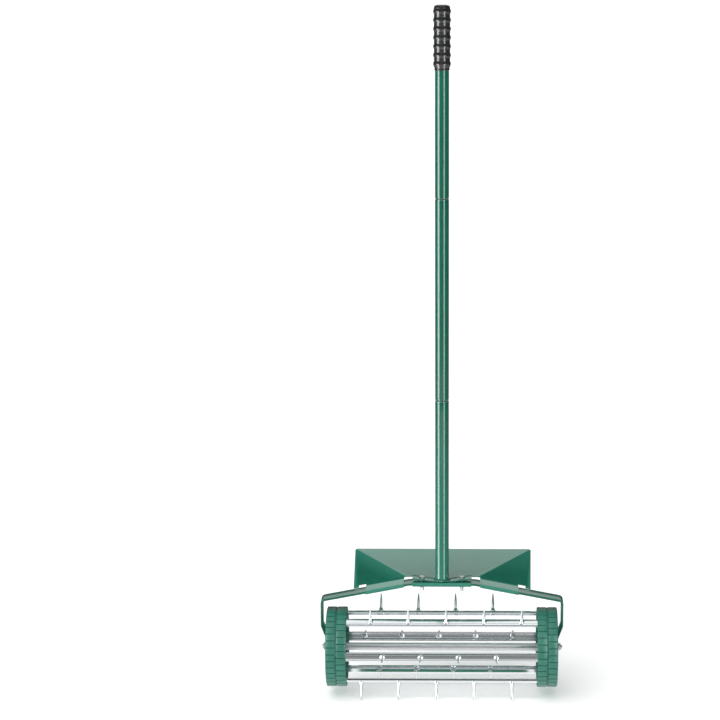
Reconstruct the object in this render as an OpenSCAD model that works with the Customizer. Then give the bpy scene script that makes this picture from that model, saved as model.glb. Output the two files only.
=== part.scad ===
// Rolling lawn aerator: a spiked drum between two wheels, carried by a bent
// flat-bar yoke under a folded fender, on a three-section tube handle.
// +X runs along the axle, +Y points to the back (the fender side), +Z is up.
// The origin is on the ground, under the middle of the footprint.

/* [Handle] */
// Outside diameter of the handle tube
tube_d = 25.4; // [22:0.2:28]
// Wall of the handle tube
tube_t = 1.2; // [1:0.1:2]
// Length of the lowest handle section, from the foot plate to its joint
lower_len = 344; // [250:1:450]
// Length of the middle handle section
middle_len = 376; // [250:1:450]
// Length of the top handle section, to the end of the grip
upper_len = 351; // [250:1:450]
// Length of the grip
grip_len = 117; // [95:1:140]
// Diameter of the grip over its ribs
grip_d = 32.4; // [30:0.2:38]
// Ribs round the grip
grip_ribs = 7; // [4:1:7]

/* [Yoke] */
// Width over the outer faces of the two arms
yoke_w = 457; // [453:1:470]
// Width of the flat bar that the yoke is bent from
bar_stock_w = 35; // [30:1:38]
// Thickness of that bar
bar_stock_t = 4; // [3:0.5:4]
// Height of the yoke's flat middle above the axle
yoke_top = 128; // [127:1:140]
// Height of the yoke's shoulders above the axle
yoke_shoulder = 96; // [95:1:105]
// Distance between the bolts that hold the handle's foot
foot_bolt_gap = 75; // [66:1:90]

/* [Fender] */
// Reach of the fender behind the axle
fender_back = 166; // [150:1:190]
// Height of the fender's back edge above the axle
fender_back_z = 146; // [142:0.5:155]
// Width of the fender's back edge
fender_w = 342; // [332:1:350]
// Thickness of the fender's sheet
sheet_t = 1.2; // [1:0.1:2]

/* [Drum] */
// Diameter of the wheels over their treads
wheel_d = 150; // [146:1:152]
// Width of a wheel
wheel_w = 38; // [36:1:42]
// Distance between the outer faces of the wheels
drum_w = 435; // [430:1:437]
// Tread blocks in each of a wheel's two rows
tread_blocks = 36; // [24:1:40]
// Spokes of a wheel
spokes = 5; // [4:1:6]
// Diameter of the axle rod
axle_d = 8; // [8:0.5:10]

/* [Tines] */
// Diameter that the tine points reach
tine_circle = 208; // [190:1:210]
// Diameter over the outer faces of the tine bars
bar_circle = 137; // [134:0.5:137]
// Width of a tine bar
tine_bar_w = 17; // [15:0.5:18]
// Distance between the tines on one bar
tine_pitch = 71; // [60:1:72]
// Diameter of a tine's shank
tine_d = 4.8; // [4:0.2:5]

/* [Hidden] */
$fn = 64;

green = [0.10, 0.42, 0.33];
wheel_green = [0.16, 0.47, 0.38];
zinc = [0.80, 0.83, 0.85];
rubber_black = [0.16, 0.16, 0.17];

gap = 0.05;                          // running and assembly clearance on a radius

// Six tine bars, the first at the front of the top and the rest every 60 degrees
// towards the front, so the drum stands on the third and fourth.
bar_count = 6;
first_bar_angle = 30;
bar_tines = [5, 4, 5, 4, 5, 4];
bar_shift = [8, -4, -10, -14, -7, -10];
tip_r = tine_circle / 2;
bar_r = bar_circle / 2;
point_r = 0.4;                       // radius of a tine's blunt point
axle_z = tip_r * cos(first_bar_angle) + point_r * sin(first_bar_angle);
axle_y = -(fender_back - tip_r) / 2;

// Wheel, measured from its inner face
wheel_r = wheel_d / 2;
tread_depth = 1.5;
tread_gap = 1.8;
rim_bore_r = bar_r + 1.2;
dish_r = wheel_r - 12;
seat_x = 16;                         // depth of the seats that the tine bars stand on
hub_r = 13;
hub_in = 3;
arm_in = drum_w / 2 - 5;             // inner face of an arm where it meets the axle
washer_t = 1.2;
hub_out = arm_in - washer_t - 0.2 - (drum_w / 2 - wheel_w);
socket_depth = 15;
spoke_t = 2.2;
spoke_angle = 27;                    // width of one facet of a spoke
spoke_tilt = 17;
spoke_ridge = 27;

axle_r = axle_d / 2;
axle_tube_r = 7.5;
axle_tube_t = 1.2;
axle_end = drum_w / 2 + 10;
outer_washer_t = 1.6;
axle_nut_h = 6.5;
axle_nut_af = 13;

// Tine bar and tines
bar_sheet = 1.2;
bar_depth = 6;
bead_h = 0.6;
bead_w = 7;
bar_len = drum_w - 2 * (wheel_w - seat_x);
tine_r = tine_d / 2;
tine_head_r = 5;
tine_head_h = 2.5;
collar_r = 4.6;
collar_h = 6;
point_h = 13;

// Yoke
arm_out = yoke_w / 2;
arm_x = arm_out - bar_stock_t / 2;
arm_foot_x = arm_in + bar_stock_t / 2;
joggle_top = 45;
joggle_low = 14;
flat_half = 62;
yoke_mid_z = yoke_top - bar_stock_t / 2;
fall = (yoke_top - yoke_shoulder) / (arm_out - flat_half);
bend_x = flat_half - bar_stock_t / 2 * tan(atan(fall) / 2);  // the bend, in the middle of the bar
yoke_y = bar_stock_w / 2;
arm_end_r = bar_stock_w / 2;

// Fender
sheet_top = yoke_top + sheet_t;
lip_h = 6.5;
mid_lip = 55;                        // half the width of the middle lip
wing_lip_in = 72;
wing_lip_out = 144;
notch_y = 26;                        // the relief notches end here, behind the yoke
wing_front = 167.5;                  // half the fender's width just behind the yoke
wing_tab = 158;                      // the outer notch ends here, in a narrow tab
foot_bolt_x = foot_bolt_gap / 2;

// Foot plate
foot_half = 56;
foot_depth = 24;
foot_t = 2.5;
foot_rise = 5;
foot_flat = 20;
foot_top = sheet_top + foot_t;

// Foot bolts
bolt_r = 3;
bolt_af = 10;
bolt_head_h = 4;
bolt_low = 111;
nut_h = 5;
bolt_washer_t = 1.6;

// Handle
tube_r = tube_d / 2;
spigot_len = 50;
spigot_r = tube_r - tube_t - gap;
shoulder_h = 5;
shoulder_r = tube_r - 1;
lower_top = foot_top + lower_len;
middle_top = lower_top + middle_len;
handle_top = middle_top + upper_len;
grip_cap = 5;
grip_neck_r = 13.4;
grip_collar_r = 13.9;
rib_pitch = 15.7;
first_rib = 11.3;

// Points on an arc of radius r that rounds the corner b of the path a, b, c
function corner(a, b, c, r, n = 8) =
    let (u = (a - b) / norm(a - b), v = (c - b) / norm(c - b),
         half = acos(u * v) / 2,
         mid = (u + v) / norm(u + v),
         centre = b + mid * r / sin(half),
         from = b + u * r / tan(half) - centre,
         to = b + v * r / tan(half) - centre,
         turn = acos(from * to / (r * r)),
         way = from[0] * to[1] - from[1] * to[0] > 0 ? 1 : -1)
    [for (i = [0 : n])
        let (t = way * turn * i / n)
        centre + [from[0] * cos(t) - from[1] * sin(t), from[0] * sin(t) + from[1] * cos(t)]];

// The path p with every inner corner rounded, radii taken from r
function rounded(p, r) =
    let (last = len(p) - 1)
    [p[0], for (i = [1 : last - 1]) each corner(p[i - 1], p[i], p[i + 1], r[i - 1]), p[last]];

function side_of(p, i) =
    let (a = p[max(i - 1, 0)], b = p[min(i + 1, len(p) - 1)], d = (b - a) / norm(b - a))
    [-d[1], d[0]];

// Outline of a strip of thickness t along the path p
function strip(p, t) =
    [for (i = [0 : len(p) - 1]) p[i] + side_of(p, i) * t / 2,
     for (i = [len(p) - 1 : -1 : 0]) p[i] - side_of(p, i) * t / 2];

function mirrored(p) = [for (i = [len(p) - 1 : -1 : 0]) [-p[i][0], p[i][1]]];

module at_axle() {
    translate([0, axle_y, axle_z]) children();
}

// Turns a shape drawn along +Z to lie along +X
module along_x(x = 0) {
    translate([x, 0, 0]) rotate([0, 90, 0]) children();
}

module both_sides() {
    children();
    mirror([1, 0, 0]) children();
}

module ring(r, hole_r, h) {
    difference() {
        cylinder(r = r, h = h);
        translate([0, 0, -1]) cylinder(r = hole_r, h = h + 2);
    }
}

module hex_nut(af, hole_r, h) {
    difference() {
        cylinder(r = af / 2 / cos(30), h = h, $fn = 6);
        translate([0, 0, -1]) cylinder(r = hole_r, h = h + 2);
    }
}

// ---- yoke and fender -------------------------------------------------------

function yoke_half() = [
    [0, yoke_mid_z],
    [bend_x, yoke_mid_z],
    [arm_x, yoke_mid_z - fall * (arm_x - bend_x)],
    [arm_x, joggle_top],
    [arm_foot_x, joggle_low],
    [arm_foot_x, -arm_end_r]];

module yoke_bar() {
    half = rounded(yoke_half(), [25, 8, 8, 8]);
    translate([0, yoke_y, 0]) rotate([90, 0, 0]) linear_extrude(bar_stock_w)
        polygon(strip(concat(mirrored(half), [for (i = [1 : len(half) - 1]) half[i]]), bar_stock_t));
}

// Rounds the lower end of an arm about the axle
module arm_end_cut() {
    along_x(arm_in - 5) difference() {
        translate([0, -arm_end_r - 1, 0]) cube([arm_end_r + 1, 2 * arm_end_r + 2, 20]);
        translate([0, 0, -1]) cylinder(r = arm_end_r, h = 22);
    }
}

module foot_holes(z, h) {
    both_sides() translate([foot_bolt_x, 0, z]) cylinder(r = bolt_r + 0.3, h = h);
}

module yoke() {
    color(green) at_axle() difference() {
        yoke_bar();
        both_sides() arm_end_cut();
        both_sides() along_x(arm_in - 5) cylinder(r = axle_r + 0.1, h = 20);
        foot_holes(yoke_top - 10, 20);
    }
}

// A layer that is t deep straight down, under the plane through p with normal n
module layer(p, n, t) {
    tilt = acos(n[2] / norm(n));
    translate(p) rotate([0, tilt, atan2(n[1], n[0])])
        translate([-400, -400, -t * cos(tilt)]) cube([800, 800, t * cos(tilt)]);
}

fold = [flat_half, yoke_y, sheet_top];
back = [fender_w / 2, fender_back, fender_back_z];
wing_corner = [wing_front, yoke_y, sheet_top - fall * (wing_front - flat_half)];
panel_normal = cross([1, 0, 0], back - fold);
wing_normal = cross(wing_corner - fold, back - fold);
slope_normal = [fall, 0, 1];
lip_y = -yoke_y - sheet_t;
overlap = 0.5;                       // the strips over the yoke run this far under the roof
roof_lift = 0.05;                    // the roof starts this much above them
back_corner = 5;

// The sheet over the yoke, sloping with normal n from x0 to x1, with its lip
module hooked_strip(n, x0, x1) {
    intersection() {
        layer(fold, n, sheet_t);
        translate([x0, lip_y, 0]) cube([x1 - x0, yoke_y + overlap - lip_y, 400]);
    }
    intersection() {
        layer(fold, n, lip_h);
        translate([x0, lip_y, 0]) cube([x1 - x0, sheet_t, 400]);
    }
}

// What lies under the hipped roof of the middle panel and the two wings
module under_roof(drop) {
    translate([0, 0, roof_lift - drop]) intersection() {
        layer(fold, panel_normal, 300);
        layer(fold, wing_normal, 300);
        mirror([1, 0, 0]) layer(fold, wing_normal, 300);
    }
}

// The sheet behind the yoke, with two notches on each side
module roof() {
    right = [[mid_lip, yoke_y], [mid_lip, notch_y], [wing_lip_in, notch_y], [wing_lip_in, yoke_y],
             [wing_lip_out, yoke_y], [wing_lip_out, notch_y], [wing_tab, notch_y], [wing_tab, yoke_y],
             [wing_front, yoke_y], [fender_w / 2, fender_back - back_corner],
             [fender_w / 2 - back_corner, fender_back]];
    difference() {
        intersection() {
            under_roof(0);
            translate([0, 0, 50]) linear_extrude(200) polygon(concat(right, mirrored(right)));
        }
        under_roof(sheet_t);
    }
}

module fender() {
    color(green) at_axle() difference() {
        union() {
            hooked_strip([0, 0, 1], -mid_lip, mid_lip);
            both_sides() hooked_strip(slope_normal, wing_lip_in, wing_lip_out);
            roof();
        }
        foot_holes(yoke_top - 1, 10);
    }
}

// ---- handle ----------------------------------------------------------------

module foot_plate() {
    half = rounded([[0, foot_top - foot_t / 2], [foot_flat, foot_top - foot_t / 2],
                    [foot_half, foot_top - foot_t / 2 + foot_rise]], [60]);
    color(green) at_axle() difference() {
        translate([0, foot_depth / 2, 0]) rotate([90, 0, 0]) linear_extrude(foot_depth)
            polygon(strip(concat(mirrored(half), [for (i = [1 : len(half) - 1]) half[i]]), foot_t));
        foot_holes(sheet_top - 1, 20);
    }
}

module foot_weld() {
    leg = 2.4;
    color(green) at_axle() translate([0, 0, foot_top]) rotate_extrude()
        difference() {
            translate([tube_r, 0]) square(leg);
            translate([tube_r + leg, leg]) circle(r = leg - 0.5);
        }
}

module foot_bolts() {
    seat = foot_top + foot_rise * (foot_bolt_x - foot_flat) / (foot_half - foot_flat) + 0.7;
    color(zinc) at_axle() both_sides() translate([foot_bolt_x, 0, 0]) {
        translate([0, 0, bolt_low]) cylinder(r = bolt_r, h = seat - bolt_low);
        translate([0, 0, seat]) cylinder(r = bolt_af / 2 / cos(30), h = bolt_head_h, $fn = 6);
    }
}

module foot_washers() {
    z = yoke_top - bar_stock_t - bolt_washer_t;
    color(zinc) at_axle() both_sides() translate([foot_bolt_x, 0, z])
        ring(6.2, bolt_r + gap, bolt_washer_t);
}

module foot_nuts() {
    z = yoke_top - bar_stock_t - bolt_washer_t - nut_h;
    color(zinc) at_axle() both_sides() translate([foot_bolt_x, 0, z])
        hex_nut(bolt_af, bolt_r + gap / 2, nut_h);
}

// Half section of a tube whose rim is rounded, from z0 to z1
module tube_wall(z0, z1) {
    translate([tube_r - tube_t, z0]) square([tube_t, z1 - z0 - tube_t / 2]);
    translate([tube_r - tube_t / 2, z1 - tube_t / 2]) circle(r = tube_t / 2);
}

// Half section of the swaged end that plugs into the section below
module swaged_end(z) {
    translate([spigot_r - tube_t, z - spigot_len]) square([tube_t, spigot_len]);
    polygon([[spigot_r - tube_t, z - 0.1], [spigot_r, z - 0.1], [shoulder_r, z + 0.3],
             for (i = [0 : 5]) [shoulder_r + (tube_r - shoulder_r) * sin(i * 18),
                                z + 0.3 + (shoulder_h - 0.3) * (1 - cos(i * 18))],
             [tube_r - tube_t, z + shoulder_h]]);
}

module lower_tube() {
    color(green) at_axle() rotate_extrude() tube_wall(foot_top, lower_top);
}

module middle_tube() {
    color(green) at_axle() rotate_extrude() {
        swaged_end(lower_top);
        tube_wall(lower_top + shoulder_h - 0.01, middle_top);
    }
}

module upper_tube() {
    color(green) at_axle() rotate_extrude() {
        swaged_end(middle_top);
        tube_wall(middle_top + shoulder_h - 0.01, handle_top - grip_cap);
    }
}

// Radius of the grip at a depth below its top
function rib_r(depth) =
    grip_neck_r + (grip_d / 2 - grip_neck_r) * pow(0.5 + 0.5 * cos(360 * (depth - first_rib) / rib_pitch), 1.6);

function last_rib() = first_rib + rib_pitch * (grip_ribs - 1);

module grip() {
    steps = 10;
    end = last_rib() + rib_pitch / 2;
    color(rubber_black) at_axle() translate([0, 0, handle_top]) rotate_extrude() difference() {
        polygon([[0, 0], [9, 0], [12, -0.8], [14, -3],
                 for (i = [0 : steps * grip_ribs]) let (d = 5 + (end - 5) * i / (steps * grip_ribs)) [rib_r(d), -d],
                 [grip_collar_r, -end - 3], [grip_collar_r, 1 - grip_len], [grip_collar_r - 1, -grip_len],
                 [0, -grip_len]]);
        translate([0, -grip_len - 1]) square([tube_r, grip_len + 1 - grip_cap]);
    }
}

// ---- axle ------------------------------------------------------------------

module axle_rod() {
    chamfer = 0.8;
    color(zinc) at_axle() along_x(-axle_end) rotate_extrude()
        polygon([[0, 0], [axle_r - chamfer, 0], [axle_r, chamfer], [axle_r, 2 * axle_end - chamfer],
                 [axle_r - chamfer, 2 * axle_end], [0, 2 * axle_end]]);
}

module axle_washers() {
    color(zinc) at_axle() both_sides() along_x(arm_in + bar_stock_t)
        ring(8.5, axle_r + gap, outer_washer_t);
}

module axle_nuts() {
    color(zinc) at_axle() both_sides() along_x(arm_in + bar_stock_t + outer_washer_t)
        hex_nut(axle_nut_af, axle_r + gap / 2, axle_nut_h);
}

module thrust_washers() {
    color(zinc) at_axle() both_sides() along_x(arm_in - washer_t)
        ring(9, axle_r + gap, washer_t);
}

module axle_tube() {
    len = drum_w - 2 * (wheel_w - hub_in - socket_depth) - 1;
    color(zinc) at_axle() along_x(-len / 2) ring(axle_tube_r, axle_tube_r - axle_tube_t, len);
}

// ---- wheels ----------------------------------------------------------------

// One row of tread blocks
module tread_row(h, turn) {
    linear_extrude(h) difference() {
        circle(r = wheel_r, $fn = 144);
        circle(r = wheel_r - tread_depth - 2, $fn = 144);
        for (i = [0 : tread_blocks - 1]) rotate(turn + i * 360 / tread_blocks)
            translate([wheel_r, 0]) square([2 * tread_depth, tread_gap], center = true);
    }
}

module rim() {
    base_r = wheel_r - tread_depth;
    rotate_extrude($fn = 144) polygon([
        [rim_bore_r, 0], [base_r, 0], [base_r, wheel_w - 2.5], [base_r - 2, wheel_w],
        [dish_r + 3, wheel_w], [dish_r, wheel_w - 2.5], [dish_r - 1, seat_x + 4], [dish_r - 1, seat_x],
        [rim_bore_r, seat_x]]);
}

// Folded spokes, each of two tilted facets that meet on a ridge
module spoke_web() {
    reach = dish_r + 10;
    intersection() {
        cylinder(r = dish_r + 1, h = wheel_w);
        union() for (i = [0 : spokes - 1]) rotate(i * 360 / spokes) translate([0, 0, spoke_ridge])
            for (side = [-1, 1]) rotate([-side * spoke_tilt, 0, 0]) translate([0, 0, -spoke_t])
                linear_extrude(spoke_t) polygon([
                    [2, 0], [reach, 0], [reach, side * reach * tan(spoke_angle / 2)],
                    [reach * cos(spoke_angle), side * reach * sin(spoke_angle)]]);
    }
}

// A lug that plugs the open end of each tine bar
module bar_lugs() {
    lug_w = tine_bar_w - 2 * bar_sheet - 0.4;
    for (i = [0 : bar_count - 1]) rotate(first_bar_angle + i * 360 / bar_count)
        translate([bar_r - bar_depth, -lug_w / 2, seat_x - 10])
            cube([bar_depth - bar_sheet - bead_h - 0.2, lug_w, 10.5]);
}

module wheel() {
    row_w = (wheel_w - 2) / 2;
    difference() {
        union() {
            rim();
            tread_row(row_w, 0);
            translate([0, 0, wheel_w - row_w]) tread_row(row_w - 2.5, 180 / tread_blocks);
            spoke_web();
            bar_lugs();
            translate([0, 0, hub_in]) cylinder(r = hub_r, h = hub_out - hub_in);
        }
        translate([0, 0, -1]) cylinder(r = axle_r + gap, h = wheel_w + 2);
        translate([0, 0, -1]) cylinder(r = axle_tube_r + gap, h = 1 + hub_in + socket_depth);
    }
}

// Turns a wheel so that its lugs meet the bars
module placed_wheel() {
    translate([drum_w / 2 - wheel_w, 0, 0]) rotate([0, 90, 0]) rotate(180) wheel();
}

module wheel_right() {
    color(wheel_green) at_axle() placed_wheel();
}

module wheel_left() {
    color(wheel_green) at_axle() mirror([1, 0, 0]) placed_wheel();
}

// ---- tine bars and tines ---------------------------------------------------

// Turns what is drawn at the top of the drum to the place of bar i
module at_bar(i) {
    at_axle() rotate([first_bar_angle + i * 360 / bar_count, 0, 0]) children();
}

function tine_x(i) =
    [for (k = [0 : bar_tines[i] - 1]) bar_shift[i] + (k - (bar_tines[i] - 1) / 2) * tine_pitch];

function bar_section() =
    let (y = (tine_bar_w - bar_sheet) / 2, top = bar_r - bar_sheet / 2, low = top - bead_h, b = bead_w / 2)
    rounded([[-y, bar_r - bar_depth], [-y, low], [-b - 1, low], [-b, top], [b, top], [b + 1, low], [y, low],
             [y, bar_r - bar_depth]], [1.4, 0.8, 0.8, 0.8, 0.8, 1.4]);

module tine_bar(i) {
    color(zinc) at_bar(i) difference() {
        translate([-bar_len / 2, 0, 0]) rotate([90, 0, 90]) linear_extrude(bar_len)
            polygon(strip(bar_section(), bar_sheet));
        for (x = tine_x(i)) translate([x, 0, bar_r - bar_depth]) cylinder(r = tine_r + gap, h = bar_depth + 1);
    }
}

// A nail whose head bears on the inside of the bar
module tine() {
    seat = bar_r - bar_sheet - bead_h;
    rotate_extrude() polygon([
        [0, seat - tine_head_h], [tine_head_r - 1, seat - tine_head_h], [tine_head_r, seat - tine_head_h + 1],
        [tine_head_r, seat], [tine_r, seat], [tine_r, tip_r - point_h], [point_r, tip_r], [0, tip_r]]);
}

module tines(i) {
    color(zinc) at_bar(i) for (x = tine_x(i)) translate([x, 0, 0]) tine();
}

// Conical collars pressed over the tines, each clamping its tine to the bar
module tine_collars() {
    hole_r = tine_r + gap / 2;
    color(zinc) for (i = [0 : bar_count - 1]) at_bar(i) for (x = tine_x(i))
        translate([x, 0, bar_r]) rotate_extrude()
            polygon([[hole_r, 0], [collar_r, 0], [collar_r, 1], [hole_r + 0.4, collar_h], [hole_r, collar_h]]);
}

yoke();
fender();
foot_plate();
foot_weld();
foot_bolts();
foot_washers();
foot_nuts();
lower_tube();
middle_tube();
upper_tube();
grip();
axle_rod();
axle_washers();
axle_nuts();
thrust_washers();
axle_tube();
wheel_left();
wheel_right();
for (i = [0 : bar_count - 1]) {
    tine_bar(i);
    tines(i);
}
tine_collars();
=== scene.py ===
"""Rolling lawn aerator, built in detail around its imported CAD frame.

Every piece is drawn in millimetres about the middle of the axle, +X along the axle,
+Y to the back and +Z up, and is then moved to where the CAD model has its axle.
"""
import math

import bmesh
import bpy
from mathutils import Matrix, Vector

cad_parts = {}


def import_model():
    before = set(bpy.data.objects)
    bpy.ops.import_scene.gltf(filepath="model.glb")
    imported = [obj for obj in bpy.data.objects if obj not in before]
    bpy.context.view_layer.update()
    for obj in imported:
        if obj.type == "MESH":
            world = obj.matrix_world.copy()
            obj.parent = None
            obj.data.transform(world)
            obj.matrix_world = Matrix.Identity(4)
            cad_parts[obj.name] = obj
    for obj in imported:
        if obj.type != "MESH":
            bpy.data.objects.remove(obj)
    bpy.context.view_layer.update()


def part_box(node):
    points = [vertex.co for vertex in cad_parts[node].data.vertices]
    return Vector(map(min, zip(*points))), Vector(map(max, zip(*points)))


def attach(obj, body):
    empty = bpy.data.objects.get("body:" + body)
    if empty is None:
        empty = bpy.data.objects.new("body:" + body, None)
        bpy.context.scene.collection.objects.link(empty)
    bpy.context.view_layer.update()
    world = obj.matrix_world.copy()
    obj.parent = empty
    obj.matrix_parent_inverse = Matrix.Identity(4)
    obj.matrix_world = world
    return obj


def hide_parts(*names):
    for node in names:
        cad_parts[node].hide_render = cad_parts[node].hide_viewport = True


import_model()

MM = 0.001


def middle(node):
    low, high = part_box(node)
    return (low + high) / 2


AXLE = middle("axle_rod")


def span(node, axis):
    """Lowest and highest place of a CAD node along an axis, in mm from the middle of the axle."""
    low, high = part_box(node)
    return (low[axis] - AXLE[axis]) / MM, (high[axis] - AXLE[axis]) / MM


# ---- sizes, mm ----------------------------------------------------------------------------------

TUBE_R = 12.7
TUBE_WALL = 1.2
TUBE_STEPS = 96
RIM_FACES = 6
FOOT_TOP, LOWER_TOP = span("lower_tube", 2)
MIDDLE_TOP = span("middle_tube", 2)[1]
GRIP_LOW, GRIP_TOP = span("grip", 2)
UPPER_TOP = span("upper_tube", 2)[1]
SPIGOT_R = TUBE_R - TUBE_WALL - 0.15
SPIGOT_LEN = LOWER_TOP - span("middle_tube", 2)[0]

YOKE_TOP = span("yoke", 2)[1]
YOKE_HALF = span("yoke", 0)[1]
BAR_T = 4.0
BAR_HALF_W = span("yoke", 1)[1]
FLAT_HALF = 62.0
SHOULDER_Z = 96.0
FALL = (YOKE_TOP - SHOULDER_Z) / (YOKE_HALF - FLAT_HALF)
ARM_IN = 212.5
JOGGLE_TOP = 45.0
JOGGLE_LOW = 14.0

SHEET_T = 1.2
SHEET_TOP = YOKE_TOP + SHEET_T
FENDER_BACK = span("fender", 1)[1]
FENDER_BACK_Z = span("fender", 2)[1]
FENDER_HALF = span("fender", 0)[1]
WING_FRONT = 167.5
FOOT_T = 2.5
BOLT_X = 37.5

WHEEL_R = 75.0
WHEEL_OUT = span("wheel_right", 0)[1]
WHEEL_IN = span("wheel_right", 0)[0]
WHEEL_W = WHEEL_OUT - WHEEL_IN
AXLE_R = 4.0
AXLE_END = span("axle_rod", 0)[1]

FIRST_BAR = 30.0
BAR_COUNT = 6
BAR_TINES = [5, 4, 5, 4, 5, 4]
BAR_SHIFT = [8, -4, -10, -14, -7, -10]
TINE_PITCH = 71.0
BAR_R = 68.5
BAR_W = 17.0
BAR_DEPTH = 6.0
BAR_SHEET = 1.2
BAR_HALF_LEN = span("tine_bar_1", 0)[1]
TIP_R = 104.0


# ---- mesh helpers -------------------------------------------------------------------------------

def piece(name, verts, faces, body, replaces, materials, sharp=35.0, indices=None):
    """Makes a closed mesh from points in mm about the axle, and hangs it on a CAD body."""
    mesh = bpy.data.meshes.new(name)
    mesh.from_pydata([Vector(v) * MM + AXLE for v in verts], [], faces)
    if indices:
        for polygon, index in zip(mesh.polygons, indices):
            polygon.material_index = index
    tidy = bmesh.new()
    tidy.from_mesh(mesh)
    bmesh.ops.remove_doubles(tidy, verts=tidy.verts, dist=1e-6)
    bmesh.ops.recalc_face_normals(tidy, faces=tidy.faces)
    tidy.to_mesh(mesh)
    tidy.free()
    for polygon in mesh.polygons:
        polygon.use_smooth = True
    mesh.set_sharp_from_angle(angle=math.radians(sharp))
    for material in materials:
        mesh.materials.append(material)
    made = bpy.data.objects.new(name, mesh)
    bpy.context.collection.objects.link(made)
    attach(made, body)
    if replaces:
        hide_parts(*replaces)
    return made


class Shape:
    """Points and faces that are gathered before they become one piece."""

    def __init__(self):
        self.verts = []
        self.faces = []
        self.indices = []

    def add(self, verts, faces):
        start = len(self.verts)
        self.verts.extend(verts)
        self.faces.extend([tuple(start + i for i in face) for face in faces])
        self.indices.extend([0] * len(faces))

    def merge(self, other, place=None):
        start = len(self.verts)
        self.verts.extend([place @ Vector(v) if place else Vector(v) for v in other.verts])
        self.faces.extend([tuple(start + i for i in face) for face in other.faces])
        self.indices.extend(other.indices)

    def make(self, name, body, replaces, slot, materials, sharp=35.0):
        return piece(name, self.verts, self.faces, body, replaces, materials, sharp, self.indices)


def along_z(angle, r, t):
    return Vector((r * math.cos(angle), r * math.sin(angle), t))


def along_x(angle, r, t):
    return Vector((t, -r * math.sin(angle), r * math.cos(angle)))


def turned(profile, steps, place=along_z, closed=True, radius=None, angles=None):
    """Turns a profile of (r, t) points about an axis. radius(angle, r, t) may change each point."""
    shape = Shape()
    angles = angles or [2 * math.pi * i / steps for i in range(steps)]
    count = len(profile)
    verts = []
    for angle in angles:
        for r, t in profile:
            verts.append(place(angle, radius(angle, r, t) if radius else r, t))
    faces = []
    for i in range(len(angles)):
        for j in range(count if closed else count - 1):
            a, b = i * count + j, i * count + (j + 1) % count
            c, d = ((i + 1) % len(angles)) * count + (j + 1) % count, ((i + 1) % len(angles)) * count + j
            faces.append((a, b, c, d))
    shape.add(verts, faces)
    return shape


def arc(centre, r, start, end, steps):
    """Points on an arc, angles in degrees."""
    return [(centre[0] + r * math.cos(math.radians(start + (end - start) * i / steps)),
             centre[1] + r * math.sin(math.radians(start + (end - start) * i / steps)))
            for i in range(steps + 1)]


def rounded_path(points, radii, steps=8):
    """A path of 2-D points with each inner corner turned into an arc."""
    points = [Vector(p) for p in points]
    path = [points[0]]
    for before, corner, after, r in zip(points, points[1:], points[2:], radii):
        u, v = (before - corner).normalized(), (after - corner).normalized()
        half = math.acos(max(-1, min(1, u.dot(v)))) / 2
        centre = corner + (u + v).normalized() * r / math.sin(half)
        start = corner + u * r / math.tan(half) - centre
        turn = math.pi - 2 * half
        if start.cross(corner + v * r / math.tan(half) - centre) < 0:
            turn = -turn
        for i in range(steps + 1):
            angle = turn * i / steps
            path.append(centre + Matrix.Rotation(angle, 2) @ start)
    path.append(points[-1])
    return path


def normals_of(path):
    result = []
    for i in range(len(path)):
        step = (path[min(i + 1, len(path) - 1)] - path[max(i - 1, 0)]).normalized()
        result.append(Vector((-step.y, step.x)))
    return result


def flat_bar(path, half_width, t, edge, place):
    """A flat bar with rounded edges that follows a path. half_width(i, point) sets its width."""
    section = []
    for sx, sy in ((1, 1), (-1, 1), (-1, -1), (1, -1)):
        start = {(1, 1): 0, (-1, 1): 90, (-1, -1): 180, (1, -1): 270}[(sx, sy)]
        section += [(sx, sy, math.cos(math.radians(a)), math.sin(math.radians(a)))
                    for a in (start, start + 22.5, start + 45, start + 67.5, start + 90)]
    verts, faces = [], []
    count = len(section)
    for i, (point, side) in enumerate(zip(path, normals_of(path))):
        w = max(half_width(i, point), edge)
        for sx, sy, cx, cy in section:
            across = sx * (w - edge) + cx * edge
            out = sy * (t / 2 - edge) + cy * edge
            verts.append(place(across, point + side * out))
    for i in range(len(path) - 1):
        for j in range(count):
            k = (j + 1) % count
            faces.append((i * count + j, i * count + k, (i + 1) * count + k, (i + 1) * count + j))
    faces.append(tuple(range(count)))
    faces.append(tuple((len(path) - 1) * count + j for j in reversed(range(count))))
    shape = Shape()
    shape.add(verts, faces)
    return shape


def hexagon_r(angle, across_flats):
    turn = math.radians(60)
    return across_flats / 2 / math.cos((angle % turn) - turn / 2)


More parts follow.
